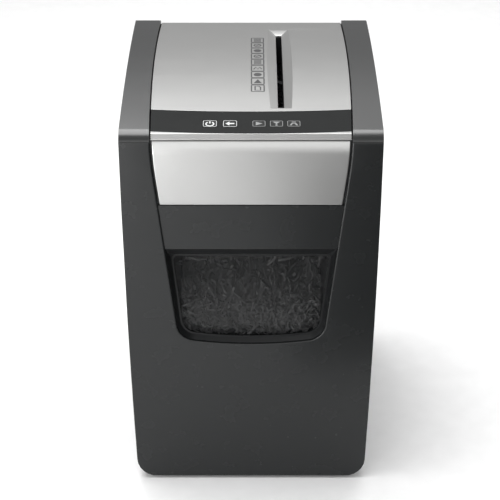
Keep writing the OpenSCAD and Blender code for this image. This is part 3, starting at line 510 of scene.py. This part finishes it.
def make_recess_shade_layer():
    """A thin dark layer on the slopes of the window recess: painted shade, darker than the charcoal frame
    round it.
    """
    bm = welded("window_frame")
    frame_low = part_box("window_frame")[0]
    front_y = frame_low.y
    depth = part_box("window_lens")[1].y - front_y
    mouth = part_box("window_lens")[1].x + 6 * MM
    shade_offset, least_depth, foot, facing_front = 0.12 * MM, 0.5 * MM, 1 * MM, -0.05

    def on_slope(face):
        at = face.calc_center_median()
        deep = [v.co.y - front_y for v in face.verts]
        return (least_depth < max(deep) < depth and face.normal.y < facing_front
                and abs(at.x) < mouth and min(v.co.z for v in face.verts) > frame_low.z + foot)

    bmesh.ops.delete(bm, geom=[f for f in bm.faces if not on_slope(f)], context="FACES")
    outer = [v.co.copy() for v in bm.verts]
    bm.normal_update()
    normals = [v.normal.copy() for v in bm.verts]
    count = len(outer)
    index = {v: i for i, v in enumerate(bm.verts)}
    faces = [tuple(index[v] for v in f.verts) for f in bm.faces]
    rims = [(index[e.verts[0]], index[e.verts[1]]) for e in bm.edges if len(e.link_faces) == 1]
    bm.free()
    points = [p + n * shade_offset for p, n in zip(outer, normals)]
    points += [p - n * shade_offset for p, n in zip(outer, normals)]
    solid = faces + [tuple(count + i for i in reversed(f)) for f in faces]
    solid += [(a, b, count + b, count + a) for a, b in rims]
    # the layer of painted shade on the recess slopes, in the darker charcoal
    mesh = mesh_from("recess_shade_layer", points, solid)
    as_piece("recess_shade_layer", mesh, "drawer", "charcoal_shell", "recess_painted_shade")


def make_fascia():
    """A plate with a slight belly, whose upper part rolls back towards the seam."""
    low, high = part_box("front_fascia")
    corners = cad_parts["front_fascia"].data.vertices
    side = sorted((v.co.z, v.co.x) for v in corners if v.co.x > 0)
    heights = [z for z, _ in side]
    widths = [x for _, x in side]
    belly, roll, roll_depth, lip = 1.5 * MM, 17 * MM, 2.4 * MM, 0.6 * MM
    steps = [0.0, 0.3, 0.8, 1.6]
    levels = [low.z + t * MM for t in steps]
    levels += list(np.linspace(low.z + 6 * MM, high.z - roll, 8))
    levels += list(np.linspace(high.z - roll, high.z - 1.2 * MM, 12))[1:] + [high.z - 0.5 * MM, high.z]
    half = widths[len(widths) // 2]
    ends = [1 - t * MM / half for t in (0.0, 0.15, 0.4, 0.7, 1.0, 1.5)]
    columns = np.array([-t for t in ends] + list(np.linspace(-0.97, 0.97, 27)) + ends[::-1])
    front = np.zeros((len(levels), len(columns), 3))
    for r, z in enumerate(levels):
        u = max(0.0, (z - (high.z - roll)) / roll)
        v = min(1.0, (z - low.z) / (high.z - roll - low.z))
        depth = low.y - belly * (4 * v * (1 - v) * 0.25 + v) + roll_depth * u * u
        for edge, size in ((z - low.z, 1.6 * MM), (high.z - z, 1.2 * MM)):
            if edge < size:
                depth += lip * (1 - math.sqrt(1 - (1 - edge / size) ** 2))
        width = np.interp(z, heights, widths)
        for c, t in enumerate(columns):
            end = min(1.0, max(0.0, abs(t) * width - (width - 1.0 * MM)) / MM)
            front[r, c] = (t * width, depth + 0.5 * MM * (1 - math.sqrt(1 - end * end)), z)
    back = front.copy()
    back[:, :, 1] = high.y
    mesh = mesh_from("front_fascia_finished", *closed_grid(front, back))
    as_piece("front_fascia_finished", mesh, "drawer", "silver_trim", stands_for=["front_fascia"])


def make_drawer():
    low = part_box("drawer_front")[0]
    seat_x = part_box("front_fascia")[1].x

    def on_rail(edge):
        return all(v.co.y < low.y + FRONT_PLAY and abs(v.co.x) < seat_x + FRONT_REACH
                   and v.co.z > low.z + RAIL_FOOT for v in edge.verts)

    refined("drawer_front", "drawer", "charcoal_shell", (on_rail, RAIL_CHAMFER, 2), SEAM_EDGE)
    refined("window_frame", "drawer", "charcoal_shell")
    make_recess_shade_layer()
    make_fascia()
    refined("window_lens", "drawer", "smoked_window")
    refined("bin_tub", "drawer", "black_plastic", width=None)
    make_paper()


def pile_slope(z):
    """How far the heap has slid back from the pane at a height."""
    return PILE_SLIDE * min(1.0, max(0.0, (z - PILE_SLIDE_Z) / PILE_SLIDE_RISE)) ** PILE_SLIDE_CURVE


def crumpled_pile():
    """The pile of shreds: the CAD pile's skin pushed in here and there, like heaped paper."""
    voxel, push, dents, reach = 4.0 * MM, 6.0 * MM, ((60.0, 0.7), (260.0, 0.6)), 90 * MM
    shape = bpy.data.objects.new("pile_shape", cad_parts["paper_shreds"].data.copy())
    bpy.context.scene.collection.objects.link(shape)
    remesh = shape.modifiers.new("skin", "REMESH")
    remesh.mode = "VOXEL"
    remesh.voxel_size = voxel
    evaluated = shape.evaluated_get(bpy.context.evaluated_depsgraph_get())
    mesh = bpy.data.meshes.new_from_object(evaluated)
    bpy.data.objects.remove(shape)
    low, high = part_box("paper_shreds")
    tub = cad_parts["bin_tub"]
    walls = BVHTree.FromPolygons([tub.matrix_world @ v.co for v in tub.data.vertices],
                                 [list(p.vertices) for p in tub.data.polygons])
    normals = [v.normal.copy() for v in mesh.vertices]
    for vertex, normal in zip(mesh.vertices, normals):
        depth = sum(share * (0.5 + 0.5 * noise.noise(vertex.co * scale)) for scale, share in dents)
        vertex.co -= normal * (0.3 * MM + push * depth)
        vertex.co.x *= PILE_NARROWER
        fade = max(0.0, 1 - (vertex.co.y - low.y) / reach)
        vertex.co.y = min(high.y, vertex.co.y + pile_slope(vertex.co.z) * fade)
        vertex.co.z = max(low.z, vertex.co.z)
        side = math.copysign(1.0, vertex.co.x)
        hit = walls.ray_cast(Vector((0.0, vertex.co.y, vertex.co.z)), Vector((side, 0.0, 0.0)))[0]
        if hit:
            vertex.co.x = side * min(abs(vertex.co.x), abs(hit.x) - WALL_PLAY)
    mesh.name = "paper_pile"
    as_piece("paper_pile", mesh, "drawer", "shredded_paper", stands_for=["paper_shreds"])


def curled_strips(name, count, x, y, z, keep_in, rng):
    """Strips of cross-cut paper as thin closed ribbons. keep_in moves points back into the free space."""
    stations, half_w, half_t = 7, 1.3 * MM, 0.12 * MM
    points, faces = [], []
    for _ in range(count):
        length = rng.uniform(*STRIP_LENGTH) * MM
        bend = rng.uniform(-STRIP_BEND, STRIP_BEND)
        turn = rng.uniform(0, 2 * math.pi, 3)
        spin = np.array(Euler(turn.tolist()).to_matrix())
        place = np.array([rng.uniform(*x), rng.uniform(*y), rng.uniform(*z)])
        first = len(points)
        for i in range(stations):
            t = i / (stations - 1) - 0.5
            a = bend * t
            reach = length * (math.sin(a) / bend if abs(bend) > 1e-3 else t)
            rise = length * ((1 - math.cos(a)) / bend if abs(bend) > 1e-3 else 0.0)
            up = np.array([-math.sin(a), 0.0, math.cos(a)])
            for side, layer in ((-1, -1), (1, -1), (1, 1), (-1, 1)):
                local = np.array([reach, side * half_w, rise]) + up * layer * half_t
                points.append(keep_in(place + spin @ local))
            if i:
                a0, b0 = first + 4 * (i - 1), first + 4 * i
                faces += [(a0 + k, b0 + k, b0 + (k + 1) % 4, a0 + (k + 1) % 4) for k in range(4)]
        faces.append(tuple(first + k for k in (0, 1, 2, 3)))
        faces.append(tuple(first + 4 * (stations - 1) + k for k in (3, 2, 1, 0)))
    return as_piece(name, mesh_from(name, points, faces), "drawer", "shredded_paper")


def make_paper():
    crumpled_pile()
    rng = np.random.default_rng(SEED)
    lens_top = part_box("window_lens")[1]
    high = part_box("paper_shreds")[1]
    lean = math.tan(PANE_LEAN)

    def pane_back(z):
        return lens_top.y - lean * (lens_top.z - z) + PANE_GAP

    def behind_pane(p):
        z = max(p[2], PANE_FLOOR_Z)
        return (min(max(p[0], -PANE_HALF_W), PANE_HALF_W), max(p[1] + pile_slope(z), pane_back(z)), z)

    def on_pile(p):
        return (min(max(p[0], -HEAP_HALF_W), HEAP_HALF_W),
                min(max(p[1], HEAP_FRONT_Y), high.y - PANE_GAP), p[2])

    shallow = pane_back(PANE_MIDDLE_Z)
    curled_strips("window_strips", 1900, (-PANE_HALF_W, PANE_HALF_W), (shallow - 1 * MM, shallow + 9 * MM),
                  (PANE_FLOOR_Z, high.z), behind_pane, rng)
    curled_strips("top_strips", 1000, (-124 * MM, 124 * MM), (-140 * MM, high.y - 4 * MM),
                  (high.z - 4 * MM, high.z + 2 * MM), on_pile, rng)


def make_top():
    refined("top_panel", "casing", "silver_trim")
    refined("control_strip", "casing", "control_panel", width=SHEET_EDGE)
    refined("throat_guide", "casing", "black_plastic")
    refined("power_button", "power_key", "button_cap", width=KEY_EDGE)
    refined("reverse_button", "reverse_key", "button_cap", width=KEY_EDGE)
    refined("indicator_lenses", "casing", "indicator_lens", width=LENS_EDGE)


def middle_of(node):
    low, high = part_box(node)
    return (low.x + high.x) / 2, (low.y + high.y) / 2


def make_prints():
    """Symbols and outlines on the keys and the indicators."""
    outline = stroke(rounded_box(7.5, 6.5, 1.8), 0.6, True)
    for node, glyph, body in (("power_button", power_glyph, "power_key"),
                              ("reverse_button", back_arrow_glyph, "reverse_key")):
        printed(node + "_symbol", glyph() + [outline], middle_of(node), surface_of(node), body,
                ("button_cap", "white_print"))
    height = surface_of("indicator_lenses")
    lens_low, lens_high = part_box("indicator_lenses")
    half = 7.5 * MM
    lens_edges = sorted({round(v.co.x, 5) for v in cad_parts["indicator_lenses"].data.vertices})
    middle = (lens_edges[2] + lens_edges[3]) / 2 if len(lens_edges) > 3 else 0.0
    centres = [lens_low.x + half, middle, lens_high.x - half]
    for centre, glyph in zip(centres, (play_glyph, heat_glyph, bin_glyph)):
        at = (centre, (lens_low.y + lens_high.y) / 2)
        ring = stroke(rounded_box(7.0, 6.0, 1.6), 0.6, True)
        printed(glyph.__name__.replace("_glyph", "_symbol"), glyph() + [ring], at, height, "casing",
                ("indicator_lens", "grey_print"))


def make_picture_column():
    """A column of plain pictures in boxes, left of the feed slot."""
    height = surface_of("top_panel")
    kinds = ("sheet", "wedge", "disc", "zigzag", "bars", "ring", "disc", "ring", "bars")
    first_y, cell, x = -59.4, 19.1, 8.0
    for i, kind in enumerate(kinds):
        box_line = stroke(rounded_box(7.5, 8.6, 1.2), 1.6, True)
        at = (x * MM, (first_y + cell * i) * MM)
        printed("picture_%d" % i, picture_marks(kind) + [box_line], at, height, "casing",
                ("silver_trim", "etched_print"))


def dress_cad_nodes():
    """Every CAD node that stays takes its slot's material."""
    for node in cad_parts.values():
        for place in node.material_slots:
            place.material = MATERIALS[place.material.name.split(".")[0]]


MATERIALS = make_materials()
make_camera()
make_studio()
make_floor()
make_casing()
make_drawer()
make_top()
make_prints()
make_picture_column()
dress_cad_nodes()
